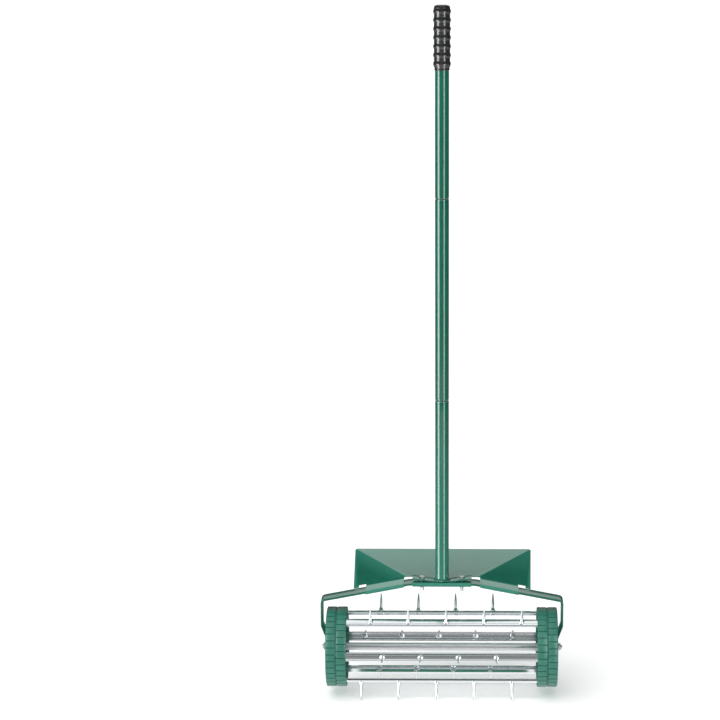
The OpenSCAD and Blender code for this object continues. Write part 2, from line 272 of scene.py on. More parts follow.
def hex_body(af, h, place, low=0.0, hole=0.0, both=True, dome=0.0):
    """A hexagon prism with chamfered corners, for nuts and bolt heads."""
    corner = af / 2 / math.cos(math.radians(30))
    slant = (corner - af / 2 * 0.96) * math.tan(math.radians(30))
    flat = af / 2 * 0.96
    levels = []
    for i in range(5):
        levels.append((low + slant * i / 4 if both else low, "low" if both else "full", i))
    for i in range(5):
        levels.append((low + h - slant * (4 - i) / 4, "high", i))

    def level_r(angle, kind, i):
        full = hexagon_r(angle, af)
        if kind == "full":
            return full
        grown = flat + (corner - flat) * (i / 4 if kind == "low" else (4 - i) / 4)
        return min(full, grown)

    steps = 72
    shape = Shape()
    verts, faces = [], []
    rings = len(levels) + 2
    bevel = 0.35
    for a in range(steps):
        angle = 2 * math.pi * a / steps
        verts.append(place(angle, hole + (bevel if hole else 0), low))
        for t, kind, i in levels:
            verts.append(place(angle, level_r(angle, kind, i), t))
        verts.append(place(angle, hole + (bevel if hole else 0), low + h + dome))
        if hole:
            verts.append(place(angle, hole, low + h - bevel))
            verts.append(place(angle, hole, low + bevel))
    rings += 2 if hole else 0
    for a in range(steps):
        b = (a + 1) % steps
        for j in range(rings if hole else rings - 1):
            k = (j + 1) % rings
            faces.append((a * rings + j, a * rings + k, b * rings + k, b * rings + j))
    shape.add(verts, faces)
    return shape


def washer(r, hole, low, h, place):
    edge = 0.25
    return turned([(hole, low + edge), (hole + edge, low), (r - edge, low), (r, low + edge),
                   (r, low + h - edge), (r - edge, low + h), (hole + edge, low + h), (hole, low + h - edge)],
                  48, place)


def thread(r, pitch, low, high, place):
    """A threaded rod whose ends are chamfered."""
    depth = pitch * 0.6
    steps = 40
    rows = int((high - low) / pitch * 6) + 1
    profile = [(r, low + (high - low) * i / rows) for i in range(rows + 1)]

    def radius(angle, full, t):
        phase = ((t / pitch - angle / (2 * math.pi)) % 1.0)
        cut = depth * (1 - abs(2 * phase - 1))
        lead = max(0.0, 0.8 - (high - t)) + max(0.0, 0.8 - (t - low))
        return full - max(cut * 0.9, lead)

    shape = turned(profile, steps, place, closed=False, radius=radius)
    count = len(profile)
    shape.faces.append(tuple(i * count for i in range(steps)))
    shape.faces.append(tuple(i * count + count - 1 for i in reversed(range(steps))))
    shape.indices += [0, 0]
    return shape


def mirror_x(shape):
    flipped = Shape()
    flipped.merge(shape, Matrix.Diagonal((-1, 1, 1, 1)))
    return flipped


# ---- materials ----------------------------------------------------------------------------------

class Nodes:
    """A material with a Principled shader and short calls for the nodes that feed it."""

    def __init__(self, name, **sockets):
        self.material = bpy.data.materials.new(name)
        self.material.use_nodes = True
        self.tree = self.material.node_tree
        self.shader = self.tree.nodes["Principled BSDF"]
        for key, value in sockets.items():
            self.shader.inputs[key.replace("_", " ")].default_value = value
        self.coords = self.tree.nodes.new("ShaderNodeTexCoord").outputs["Object"]

    def node(self, kind, **settings):
        made = self.tree.nodes.new(kind)
        for key, value in settings.items():
            setattr(made, key, value)
        return made

    def link(self, output, target):
        self.tree.links.new(output, target)

    def stretched(self, scale):
        mapping = self.node("ShaderNodeMapping")
        mapping.inputs["Scale"].default_value = scale
        self.link(self.coords, mapping.inputs["Vector"])
        return mapping.outputs["Vector"]

    def noise(self, scale, detail=3.0, rough=0.5, stretch=None):
        made = self.node("ShaderNodeTexNoise")
        made.inputs["Scale"].default_value = scale
        made.inputs["Detail"].default_value = detail
        made.inputs["Roughness"].default_value = rough
        self.link(self.stretched(stretch) if stretch else self.coords, made.inputs["Vector"])
        return made.outputs["Fac"]

    def cells(self, scale):
        made = self.node("ShaderNodeTexVoronoi")
        made.inputs["Scale"].default_value = scale
        self.link(self.coords, made.inputs["Vector"])
        grey = self.node("ShaderNodeSeparateColor")
        self.link(made.outputs["Color"], grey.inputs["Color"])
        return grey.outputs["Red"]

    def ramp(self, source, stops):
        made = self.node("ShaderNodeValToRGB")
        elements = made.color_ramp.elements
        while len(elements) < len(stops):
            elements.new(0.5)
        for element, (place, colour) in zip(elements, stops):
            element.position = place
            element.color = (*colour, 1)
        self.link(source, made.inputs["Fac"])
        return made.outputs["Color"]

    def range(self, source, low, high, start=0.0, end=1.0):
        made = self.node("ShaderNodeMapRange")
        made.inputs["From Min"].default_value = start
        made.inputs["From Max"].default_value = end
        made.inputs["To Min"].default_value = low
        made.inputs["To Max"].default_value = high
        self.link(source, made.inputs["Value"])
        return made.outputs["Result"]

    def mix(self, factor, a, b):
        made = self.node("ShaderNodeMix", data_type="RGBA")
        self.link(factor, made.inputs["Factor"])
        for source, target in ((a, made.inputs["A"]), (b, made.inputs["B"])):
            if isinstance(source, tuple):
                target.default_value = (*source, 1)
            else:
                self.link(source, target)
        return made.outputs["Result"]

    def edges(self, low, high):
        """0 on flat faces, 1 on sharp outer edges."""
        geometry = self.node("ShaderNodeNewGeometry")
        return self.range(geometry.outputs["Pointiness"], 0.0, 1.0, low, high)

    def colour(self, source):
        self.link(source, self.shader.inputs["Base Color"])

    def roughness(self, source):
        self.link(source, self.shader.inputs["Roughness"])

    def bump(self, source, strength, distance, before=None):
        made = self.node("ShaderNodeBump")
        made.inputs["Strength"].default_value = strength
        made.inputs["Distance"].default_value = distance
        self.link(source, made.inputs["Height"])
        if before:
            self.link(before, made.inputs["Normal"])
        self.link(made.outputs["Normal"], self.shader.inputs["Normal"])
        return made.outputs["Normal"]


def powder_coat():
    m = Nodes("green_powder_coat", Coat_Weight=0.4, Coat_Roughness=0.07, Specular_IOR_Level=0.5)
    cloud = m.noise(14.0, 4.0)
    peel = m.noise(900.0, 2.0)
    base = m.ramp(cloud, [(0.3, (0.004, 0.125, 0.076)), (0.7, (0.005, 0.145, 0.090))])
    # Sharp outer edges go a lighter green: partly edge wear, partly a painted highlight along edges and
    # folds.
    edge_wear_and_highlight = m.mix(m.edges(0.53, 0.62), base, (0.04, 0.25, 0.18))
    m.colour(edge_wear_and_highlight)
    m.roughness(m.range(m.noise(60.0, 5.0), 0.15, 0.23, 0.3, 0.7))
    m.bump(peel, 0.10, 0.0002)
    return m.material


def moulded_plastic():
    m = Nodes("wheel_plastic", Specular_IOR_Level=0.5)
    cloud = m.noise(30.0, 4.0)
    base = m.ramp(cloud, [(0.3, (0.020, 0.20, 0.135)), (0.7, (0.028, 0.24, 0.165))])
    # Sharp edges are painted a lighter green: a painted highlight along the rims, spokes and lugs.
    m.colour(m.mix(m.edges(0.52, 0.62), base, (0.06, 0.28, 0.21)))
    m.roughness(m.range(m.noise(120.0, 4.0), 0.30, 0.46, 0.3, 0.7))
    m.bump(m.noise(1600.0, 3.0), 0.12, 0.0002)
    return m.material


def tread_plastic():
    m = Nodes("tread_plastic", Specular_IOR_Level=0.45)
    cloud = m.noise(40.0, 5.0)
    base = m.ramp(cloud, [(0.3, (0.027, 0.175, 0.125)), (0.7, (0.037, 0.22, 0.160))])
    # The blocks' sharp edges are painted a lighter green: a painted highlight outlining the tread blocks.
    m.colour(m.mix(m.edges(0.52, 0.64), base, (0.05, 0.24, 0.18)))
    m.roughness(m.range(m.noise(200.0, 4.0), 0.28, 0.42, 0.3, 0.7))
    m.bump(m.noise(1500.0, 4.0), 0.2, 0.0003)
    return m.material


def zinc(name, tint, low, high, grain, spangle):
    """Bright zinc plate: cool, with a faint crystal spangle and rolling lines along X."""
    m = Nodes(name, Metallic=1.0)
    crystals = m.cells(spangle)
    pale = tuple(min(1.0, c * 1.02) for c in tint)
    dull = tuple(c * 0.96 for c in tint)
    base = m.mix(m.range(crystals, 0.0, 1.0), dull, pale)
    m.colour(m.mix(m.range(m.noise(25.0, 5.0), 0.0, 0.3, 0.45, 0.8), base, tuple(c * 0.86 for c in tint)))
    lines = m.noise(1.0, 4.0, 0.6, stretch=grain)
    m.roughness(m.range(lines, low, high, 0.3, 0.7))
    first = m.bump(lines, 0.03, 0.0002)
    m.bump(crystals, 0.015, 0.0002, first)
    return m.material


def grip_rubber():
    m = Nodes("grip_rubber", Specular_IOR_Level=0.6, Coat_Weight=0.25, Coat_Roughness=0.15)
    m.colour(m.ramp(m.noise(80.0, 4.0), [(0.3, (0.018, 0.018, 0.020)), (0.7, (0.030, 0.030, 0.032))]))
    m.roughness(m.range(m.noise(300.0, 4.0), 0.17, 0.26, 0.3, 0.7))
    m.bump(m.noise(2200.0, 2.0), 0.08, 0.0002)
    return m.material


def bare_edge():
    """The tube's cut rim, where the coat is thin."""
    m = Nodes("bare_edge", Metallic=0.7)
    m.colour(m.ramp(m.noise(500.0, 3.0), [(0.4, (0.30, 0.42, 0.37)), (0.6, (0.55, 0.60, 0.58))]))
    m.roughness(m.range(m.noise(300.0), 0.3, 0.5))
    return m.material


GREEN = powder_coat()
WHEEL = moulded_plastic()
TREAD = tread_plastic()
ZINC_SHEET = zinc("zinc_sheet", (0.90, 0.945, 0.96), 0.09, 0.16, (3.0, 500.0, 500.0), 260.0)
ZINC_TUBE = zinc("zinc_tube", (0.86, 0.88, 0.90), 0.34, 0.42, (4.0, 400.0, 400.0), 220.0)
ZINC_TINE = zinc("zinc_tine", (0.88, 0.91, 0.92), 0.27, 0.38, (300.0, 300.0, 60.0), 500.0)
ZINC_BOLT = zinc("zinc_fastener", (0.95, 0.96, 0.96), 0.24, 0.36, (500.0, 500.0, 500.0), 600.0)
RUBBER = grip_rubber()
BARE = bare_edge()


# ---- handle -------------------------------------------------------------------------------------

def tube_piece(name, low, high, plugged):
    """One handle section. plugged gives it a necked lower end that fits the section below."""
    inner = TUBE_R - TUBE_WALL
    rim = TUBE_WALL / 2
    shoulder = 5.0
    outer = [(inner, high - rim)] + [(inner + rim - rim * math.cos(a), high - rim + rim * math.sin(a))
                                     for a in [math.radians(30 * i) for i in range(1, 6)]]
    outer += [(TUBE_R, high - rim), (TUBE_R, high - 20)]
    if plugged:
        seat = low + SPIGOT_LEN
        outer += [(TUBE_R, seat + shoulder)]
        outer += [(SPIGOT_R + (TUBE_R - SPIGOT_R) * math.cos(math.radians(15 * i)) ** 0.8,
                   seat + shoulder - 4.2 * math.sin(math.radians(15 * i))) for i in range(1, 6)]
        outer += [(SPIGOT_R, seat + 0.4), (SPIGOT_R, low + 1.5), (SPIGOT_R - 0.6, low)]
        outer += [(SPIGOT_R - 1.4, low), (SPIGOT_R - 1.4, seat + 1.0), (inner, seat + shoulder + 2)]
    else:
        outer += [(TUBE_R, low), (inner, low)]
    shape = turned(outer, TUBE_STEPS)
    count = len(outer)
    for i in range(TUBE_STEPS):
        for j in range(RIM_FACES):
            shape.indices[i * count + j] = 1
    return shape.make(name + "_shown", "frame", [name], "green_paint", [GREEN, BARE])


def grip():
    ribs = 7
    pitch = 15.7
    first = 11.3
    crest = 16.2
    valley = 14.55
    profile = [(0.01, GRIP_TOP), (8.0, GRIP_TOP), (11.5, GRIP_TOP - 0.5), (13.3, GRIP_TOP - 1.6),
               (14.3, GRIP_TOP - 3.2)]
    last = first + pitch * (ribs - 1)
    steps = 14 * ribs
    start = 4.6
    end = last + 5.2
    for i in range(steps + 1):
        depth = start + (end - start) * i / steps
        wave = 0.5 + 0.5 * math.cos(2 * math.pi * (depth - first) / pitch)
        profile.append((valley + (crest - valley) * wave ** 2.2, GRIP_TOP - depth))
    low = GRIP_LOW
    profile += [(13.6, low + 4.6), (13.35, low + 3.6), (13.5, low + 2.6), (13.85, low + 1.7),
                (13.85, low + 0.9), (13.5, low + 0.2), (13.0, low), (TUBE_R + 0.05, low),
                (TUBE_R + 0.05, UPPER_TOP + 0.2), (0.01, UPPER_TOP + 0.2)]
    shape = turned(profile, 96)
    shape.make("grip_shown", "frame", ["grip"], "grip_rubber", [RUBBER], sharp=60)


# ---- yoke, fender and foot ----------------------------------------------------------------------

def in_xz(across, point):
    return Vector((point.x, across, point.y))


def yoke():
    arm_x = YOKE_HALF - BAR_T / 2
    foot_x = ARM_IN + BAR_T / 2
    top = YOKE_TOP - BAR_T / 2
    low = -BAR_HALF_W
    bend_x = FLAT_HALF - BAR_T / 2 * math.tan(math.atan(FALL) / 2)
    right = [(bend_x, top), (arm_x, top - FALL * (arm_x - bend_x)), (arm_x, JOGGLE_TOP),
             (foot_x, JOGGLE_LOW), (foot_x, low)]
    left = [(-x, z) for x, z in reversed(right)]
    path = rounded_path(left + right, [10, 10, 6.5, 30, 30, 6.5, 10, 10], 8)
    ends = [Vector((foot_x, low + BAR_HALF_W * (1 - math.cos(math.radians(a))))) for a in range(5, 90, 8)]
    path = [Vector((-p.x, p.y)) for p in ends] + [p for p in path[1:-1]] + list(reversed(ends))
    path = [Vector((-foot_x, low + 0.02))] + path + [Vector((foot_x, low + 0.02))]

    def half_width(i, point):
        if point.y < 0:
            return math.sqrt(max(BAR_HALF_W ** 2 - point.y ** 2, 0.01))
        return BAR_HALF_W

    shape = flat_bar(path, half_width, BAR_T, 1.1, in_xz)
    shape.make("yoke_shown", "frame", ["yoke"], "green_paint", [GREEN], sharp=30)


def fender_surface():
    """The fender's upper face as flat polygons that share their fold edges."""
    fold = Vector((FLAT_HALF, BAR_HALF_W, SHEET_TOP))
    back = Vector((FENDER_HALF, FENDER_BACK, FENDER_BACK_Z))
    front = Vector((WING_FRONT, BAR_HALF_W, SHEET_TOP - FALL * (WING_FRONT - FLAT_HALF)))
    panel_n = Vector((1, 0, 0)).cross(back - fold)
    wing_n = (front - fold).cross(back - fold)
    notch = 26.0
    lip_y = -BAR_HALF_W - SHEET_T * 0.6
    lip_drop = 6.5

    def on(n, x, y):
        return Vector((x, y, fold.z - (n.x * (x - fold.x) + n.y * (y - fold.y)) / n.z))

    def sloped(x, y, drop=0.0):
        return Vector((x, y, SHEET_TOP - max(0.0, FALL * (abs(x) - FLAT_HALF)) - drop))

    split = FLAT_HALF + (notch - fold.y) * (back.x - fold.x) / (back.y - fold.y)
    round_r = 6.0
    centre = (back.x - round_r, back.y - round_r)
    away = (back - fold).normalized() * round_r * 0.42
    tip = back - away
    arc_back = [on(panel_n, *p) for p in arc(centre, round_r, 90, 50, 4)]
    arc_side = [on(wing_n, *p) for p in arc(centre, round_r, 40, 0, 4)]
    polygons = []

    def flip(points):
        return [Vector((-p.x, p.y, p.z)) for p in reversed(points)]

    half_panel = [on(panel_n, 55, fold.y), on(panel_n, 55, notch), on(panel_n, split, notch), tip]
    half_panel += list(reversed(arc_back))
    polygons.append(half_panel + flip(half_panel))
    wing = [on(wing_n, split, notch), on(wing_n, 72, notch), on(wing_n, 72, fold.y),
            on(wing_n, 144, fold.y), on(wing_n, 144, notch), on(wing_n, 158, notch),
            on(wing_n, 158, fold.y), front] + list(reversed(arc_side)) + [tip]
    polygons += [wing, flip(wing)]
    strip = [sloped(-55, lip_y), sloped(55, lip_y), on(panel_n, 55, fold.y), on(panel_n, -55, fold.y)]
    lip = [sloped(-55, lip_y, lip_drop), sloped(55, lip_y, lip_drop), strip[1], strip[0]]
    polygons += [strip, lip]
    side = [sloped(72, lip_y), sloped(144, lip_y), on(wing_n, 144, fold.y), on(wing_n, 72, fold.y)]
    side_lip = [sloped(72, lip_y, lip_drop), sloped(144, lip_y, lip_drop), side[1], side[0]]
    polygons += [side, side_lip, flip(side), flip(side_lip)]
    return polygons


def fender():
    mesh = bmesh.new()
    for polygon in fender_surface():
        mesh.faces.new([mesh.verts.new(p) for p in polygon])
    bmesh.ops.remove_doubles(mesh, verts=mesh.verts, dist=0.05)
    bmesh.ops.recalc_face_normals(mesh, faces=mesh.faces)
    if sum(f.normal.z * f.calc_area() for f in mesh.faces) < 0:
        bmesh.ops.reverse_faces(mesh, faces=mesh.faces)
    folds = [e for e in mesh.edges if len(e.link_faces) == 2]
    bmesh.ops.bevel(mesh, geom=folds, offset=2.0, segments=4, profile=0.5, affect="EDGES")
    bmesh.ops.solidify(mesh, geom=mesh.faces[:], thickness=SHEET_T)
    bmesh.ops.recalc_face_normals(mesh, faces=mesh.faces)
    verts = [v.co.copy() for v in mesh.verts]
    faces = [tuple(v.index for v in f.verts) for f in mesh.faces]
    mesh.free()
    piece("fender_shown", verts, faces, "frame", ["fender"], [GREEN], sharp=30)


def foot_plate():
    half = 55.5
    rise = 5.6
    mid = SHEET_TOP + FOOT_T / 2 + 0.02
    points = [(-half, mid + rise), (-17, mid), (17, mid), (half, mid + rise)]
    path = rounded_path(points, [70, 70], 10)
    shape = flat_bar(path, lambda i, p: 12.4, FOOT_T, 0.6, in_xz)
    shape.make("foot_plate_shown", "frame", ["foot_plate"], "green_paint", [GREEN], sharp=30)


def foot_weld():
    """A fillet weld round the tube, with the scallops of a welded bead."""
    low = FOOT_TOP
    beads = 26
    profile = [(TUBE_R - 0.2, low), (TUBE_R + 3.4, low), (TUBE_R + 3.2, low + 0.8), (TUBE_R + 2.2, low + 1.9),
               (TUBE_R + 1.1, low + 2.7), (TUBE_R + 0.2, low + 3.3), (TUBE_R - 0.2, low + 3.3)]

    def scallop(angle, r, t):
        swell = abs(math.sin(angle * beads / 2))
        return TUBE_R + (r - TUBE_R) * (0.78 + 0.26 * swell) if r > TUBE_R else r

    shape = turned(profile, beads * 8, radius=scallop)
    shape.make("foot_weld_shown", "frame", ["foot_weld"], "green_paint", [GREEN], sharp=70)


def at_x(x):
    return lambda angle, r, t: along_z(angle, r, t) + Vector((x, 0, 0))


def foot_fasteners():
    seat = SHEET_TOP + FOOT_T + 2.9
    under = YOKE_TOP - BAR_T
    bolts, nuts, washers = Shape(), Shape(), Shape()
    for x in (-BOLT_X, BOLT_X):
        place = at_x(x)
        bolts.merge(hex_body(10, 3.6, place, low=seat, both=False, dome=0.25))
        flange = [(0.01, seat - 0.5), (6.4, seat - 0.5), (6.6, seat - 0.2), (5.2, seat + 0.3),
                  (0.01, seat + 0.3)]
        bolts.merge(turned(flange, 48, place))
        bolts.merge(thread(2.95, 1.0, under - 14, seat, place))
        washers.merge(washer(6.2, 3.1, under - 1.6, 1.6, place))
        nuts.merge(hex_body(10, 5.0, place, low=under - 6.6, hole=3.0))
    bolts.make("foot_bolts_shown", "frame", ["foot_bolts"], "zinc_fastener", [ZINC_BOLT], sharp=30)
    washers.make("foot_washers_shown", "frame", ["foot_washers"], "zinc_fastener", [ZINC_BOLT], sharp=30)
    nuts.make("foot_nuts_shown", "frame", ["foot_nuts"], "zinc_fastener", [ZINC_BOLT], sharp=30)


# ---- axle ---------------------------------------------------------------------------------------

def axle():
    arm_out = ARM_IN + BAR_T
    rod = turned([(0.01, -200), (AXLE_R, -200), (AXLE_R, 200), (0.01, 200)], 48, along_x)
    end = thread(AXLE_R, 1.25, 199, AXLE_END, along_x)
    rod.merge(end)
    rod.merge(mirror_x(end))
    rod.make("axle_rod_shown", "frame", ["axle_rod"], "zinc_fastener", [ZINC_BOLT], sharp=30)
    outer, thrust, nuts = Shape(), Shape(), Shape()
    one_washer = washer(8.5, AXLE_R + 0.1, arm_out, 1.6, along_x)
    one_thrust = washer(9.0, AXLE_R + 0.1, ARM_IN - 1.2, 1.2, along_x)
    one_nut = hex_body(13, 6.5, along_x, low=arm_out + 1.6, hole=AXLE_R)
    for target, one in ((outer, one_washer), (thrust, one_thrust), (nuts, one_nut)):
        target.merge(one)
        target.merge(mirror_x(one))
    outer.make("axle_washers_shown", "frame", ["axle_washers"], "zinc_fastener", [ZINC_BOLT], sharp=30)
    thrust.make("thrust_washers_shown", "frame", ["thrust_washers"], "zinc_fastener", [ZINC_BOLT], sharp=30)
    nuts.make("axle_nuts_shown", "frame", ["axle_nuts"], "zinc_fastener", [ZINC_BOLT], sharp=30)
    half = span("axle_tube", 0)[1]
    wall = [(6.4, -half), (7.3, -half), (7.5, -half + 0.2), (7.5, half - 0.2), (7.3, half), (6.4, half)]
    tube = turned(wall, 64, along_x)
    tube.make("axle_tube_shown", "drum", ["axle_tube"], "zinc_tube", [ZINC_TUBE], sharp=40)


# ---- wheels -------------------------------------------------------------------------------------

TREAD_BLOCKS = 36
GROOVE = 0.62
GROOVE_EDGE = 0.28


def tread_angles():
    """Angles, in degrees, that land on both edges of every groove in both rows."""
    pitch = 360 / TREAD_BLOCKS
    within = [-GROOVE - GROOVE_EDGE, -GROOVE, -GROOVE + 0.2, GROOVE - 0.2, GROOVE, GROOVE + GROOVE_EDGE]
    angles = []
    for i in range(TREAD_BLOCKS * 2):
        angles += [i * pitch / 2 + w for w in within]
        angles.append(i * pitch / 2 + pitch / 4)
    return [math.radians(a) for a in angles]


def groove_depth(angle, offset):
    """1 at the bottom of a groove between two blocks, 0 on a block's face."""
    pitch = 360 / TREAD_BLOCKS
    from_groove = abs((math.degrees(angle) - offset + pitch / 2) % pitch - pitch / 2)
    if from_groove < GROOVE - 0.1:
        return 1.0
    if from_groove < GROOVE + 0.1:
        return 0.75
    return 0.0


def wheel_rim():
    """Tread, rounded outer lip, slanted dish wall and the inner bore, turned in one piece."""
    floor_r = 73.4
    lip = 37.0
    row_1 = [(floor_r, 0.0), (74.7, 0.25), (WHEEL_R, 0.7), (WHEEL_R, 9.0), (WHEEL_R, 17.0), (74.7, 17.5)]
    centre = [(floor_r, 17.8), (floor_r - 0.2, 18.4), (floor_r + 0.7, 18.75), (floor_r + 0.7, 19.25),
              (floor_r - 0.2, 19.6), (floor_r, 20.2)]
    row_2 = [(74.7, 20.5), (WHEEL_R, 21.0), (WHEEL_R, 28.0), (WHEEL_R, lip - 0.8), (74.7, lip - 0.3)]
    outer = [(floor_r, lip), (73.0, 37.4), (72.3, 37.75), (71.4, 37.95), (70.4, 38.0), (68.6, 37.9),
             (66.8, 37.3), (65.4, 36.2), (64.3, 34.6), (63.3, 32.4), (62.4, 29.8), (61.6, 27.4),
             (61.0, 25.6), (60.6, 24.4)]
    inner = [(60.0, 22.0), (60.0, 19.2), (60.6, 18.4), (61.5, 18.2), (66.0, 18.2), (68.6, 17.6), (69.6, 16.2),
             (69.9, 14.0), (70.0, 1.2), (70.4, 0.3), (71.0, 0.0)]
    profile = row_1 + centre + row_2 + outer + inner

    def radius(angle, r, t):
        if r <= floor_r:
            return r
        if t < 17.8:
            return r - (r - floor_r + 0.15) * groove_depth(angle, 0.0)
        if 20.2 < t < lip:
            return r - (r - floor_r + 0.15) * groove_depth(angle, 180 / TREAD_BLOCKS)
        return r

    shape = turned(profile, 0, along_x, radius=radius, angles=tread_angles())
    count = len(profile)
    tread_to = len(row_1) + len(centre) + len(row_2)
    for i in range(len(shape.faces)):
        if i % count < tread_to - 1:
            shape.indices[i] = 1
    return shape


def slab(top, depth):
    """A thick plate from its upper outline and the vector to its lower face."""
    shape = Shape()
    count = len(top)
    verts = [Vector(p) for p in top] + [Vector(p) + Vector(depth) for p in top]
    faces = [tuple(range(count)), tuple(reversed(range(count, 2 * count)))]
    faces += [(i, (i + 1) % count, (i + 1) % count + count, i + count) for i in range(count)]
    shape.add(verts, faces)
    return shape


SPOKES = 5
FACET = 27.0


def spoke_point(degrees, r, height):
    angle = math.radians(degrees)
    return along_x(angle, r, height)


def folded_spokes():
    """Each spoke is a plate folded along a ridge, with a raised rim along both free edges."""
    web = Shape()
    hub, edge = 11.0, 61.6
    ridge_out, valley_out = 27.5, 15.0
    near_hub = 27.0
    plate = 2.0
    steps = 8
    for s in range(SPOKES):
        base = s * 360 / SPOKES
        verts, faces = [], []
        lines = [-FACET, -FACET * 0.5, 0.0, FACET * 0.5, FACET]
        for level in (0, 1):
            for i in range(steps + 1):
                k = i / steps
                r = hub + (edge - hub) * k
                for line in lines:
                    fall = (ridge_out - valley_out) * abs(line) / FACET * (0.12 + 0.88 * k)
                    spread = 1.0 if k > 0.05 else 0.9
                    height = near_hub + (ridge_out - near_hub) * k - fall
                    verts.append(spoke_point(base + line * spread, r, height - level * plate))
        width = len(lines)
        layer = width * (steps + 1)
        for i in range(steps):
            for j in range(width - 1):
                a = i * width + j
                faces.append((a, a + 1, a + 1 + width, a + width))
                faces.append((a + layer, a + width + layer, a + 1 + width + layer, a + 1 + layer))
            for j in (0, width - 1):
                a = i * width + j
                faces.append((a, a + width, a + width + layer, a + layer))
        for i in (0, steps):
            for j in range(width - 1):
                a = i * width + j
                faces.append((a, a + layer, a + 1 + layer, a + 1))
        web.add(verts, faces)
        for side in (-1, 1):
            rim = []
            for r, lift in ((hub + 2, 0.3), (edge, 1.2)):
                k = (r - hub) / (edge - hub)
                fall = (ridge_out - valley_out) * (0.12 + 0.88 * k)
                height = near_hub + (ridge_out - near_hub) * k - fall
                rim.append((r, height, lift))
            a = [spoke_point(base + side * FACET, rim[0][0], rim[0][1] + rim[0][2]),
                 spoke_point(base + side * FACET, rim[1][0], rim[1][1] + rim[1][2]),
                 spoke_point(base + side * (FACET - 1.5), rim[1][0], rim[1][1] + rim[1][2] + 0.4),
                 spoke_point(base + side * (FACET - 4.0), rim[0][0], rim[0][1] + rim[0][2] + 0.2)]
            web.merge(slab(a, (-3.4, 0, 0)))
    return web


def wheel_hub():
    out = ARM_IN - 1.2 - 0.2 - WHEEL_IN
    bore = AXLE_R + 0.12
    socket = 7.62
    profile = [(bore, out), (8.4, out), (9.0, out - 0.6), (9.2, 29.5), (12.4, 28.6), (13.0, 27.8),
               (13.0, 4.0), (12.4, 3.2), (9.6, 3.0), (socket, 3.8), (socket, 18.0), (bore, 18.0)]
    return turned(profile, 72, along_x)


def bar_pockets():
    """Lugs inside the rim that each tine bar is pushed over."""
    shape = Shape()
    half = BAR_W / 2 - BAR_SHEET - 0.3
    low, high = BAR_R - BAR_DEPTH, BAR_R - BAR_SHEET - 1.2
    for i in range(BAR_COUNT):
        place = Matrix.Rotation(math.radians(FIRST_BAR + 60 * i), 4, "X")
        top = [(6.5, -half, low), (6.5, half, low), (6.5, half, high), (6.5, -half, high)]
        shape.merge(slab(top, (12.5, 0, 0)), place)
    return shape


def one_wheel():
    wheel = Shape()
    wheel.merge(wheel_rim())
    wheel.merge(folded_spokes(), Matrix.Rotation(math.radians(180), 4, "X"))
    wheel.merge(wheel_hub())
    wheel.merge(bar_pockets())
    return wheel


def wheels():
    wheel = Shape()
    wheel.merge(one_wheel(), Matrix.Translation((WHEEL_IN, 0, 0)))
    wheel.make("wheel_right_shown", "drum", ["wheel_right"], "wheel_plastic", [WHEEL, TREAD], sharp=38)
    left = mirror_x(wheel)
    left.make("wheel_left_shown", "drum", ["wheel_left"], "wheel_plastic", [WHEEL, TREAD], sharp=38)


# ---- tine bars and tines ------------------------------------------------------------------------

def tine_places(i):
    count = BAR_TINES[i]
    return [BAR_SHIFT[i] + (k - (count - 1) / 2) * TINE_PITCH for k in range(count)]


def bar_section():
    y = (BAR_W - BAR_SHEET) / 2
    top = BAR_R - BAR_SHEET / 2
    low = top - 0.6
    bead = 3.5
    corners = [(-y, BAR_R - BAR_DEPTH), (-y, low), (-bead - 1, low), (-bead, top), (bead, top),
               (bead + 1, low), (y, low), (y, BAR_R - BAR_DEPTH)]
    return rounded_path(corners, [1.5, 0.9, 0.9, 0.9, 0.9, 1.5], 5)


def tine_bar(i):
    path = bar_section()
    sides = normals_of(path)
    t = BAR_SHEET / 2
    outline = [p + n * t for p, n in zip(path, sides)]
    outline += [p - n * t for p, n in reversed(list(zip(path, sides)))]
    turn = Matrix.Rotation(math.radians(FIRST_BAR + 60 * i), 4, "X")
    stations = [-BAR_HALF_LEN, -BAR_HALF_LEN + 0.3, -120.0, 0.0, 120.0, BAR_HALF_LEN - 0.3, BAR_HALF_LEN]
    shape = Shape()
    verts, faces = [], []
    count = len(outline)
    for x in stations:
        for p in outline:
            verts.append(turn @ Vector((x, p.x, p.y)))
    for s in range(len(stations) - 1):
        for j in range(count):
            k = (j + 1) % count
            faces.append((s * count + j, s * count + k, (s + 1) * count + k, (s + 1) * count + j))
    last = (len(stations) - 1) * count
    half = count // 2
    for j in range(half - 1):
        faces.append((j, j + 1, count - 2 - j, count - 1 - j))
        faces.append((last + j, last + count - 1 - j, last + count - 2 - j, last + j + 1))
    shape.add(verts, faces)
    name = f"tine_bar_{i + 1}"
    shape.make(name + "_shown", "drum", [name], "zinc_sheet", [ZINC_SHEET], sharp=30)


def tine_shape():
    """A nail with a domed head and a long four-sided point."""
    seat = BAR_R - BAR_SHEET - 0.6
    head = [(0.01, seat - 2.7), (3.2, seat - 2.55), (4.5, seat - 2.0), (5.0, seat - 1.2), (5.0, seat),
            (2.35, seat), (2.35, TIP_R - 17)]
    point = [(2.35 * (1 - k / 8) ** 0.6 + 0.05, TIP_R - 17 + 17 * k / 8) for k in range(1, 8)]

    def faceted(angle, r, t):
        if t < TIP_R - 16.9:
            return r
        square = r / max(abs(math.cos(angle)), abs(math.sin(angle)))
        blend = min(1.0, (t - TIP_R + 16.9) / 9)
        return r + (min(square, 2.4) - r) * blend * 0.5

    return turned(head + point + [(0.01, TIP_R)], 24, along_z, closed=False, radius=faceted)


def collar_shape():
    r = BAR_R
    profile = [(2.4, r), (4.6, r), (4.75, r + 0.3), (4.7, r + 0.9), (4.1, r + 1.8), (3.5, r + 3.2),
               (3.1, r + 4.8), (2.9, r + 5.8), (2.6, r + 6.1), (2.4, r + 6.1)]
    return turned(profile, 32, along_z)


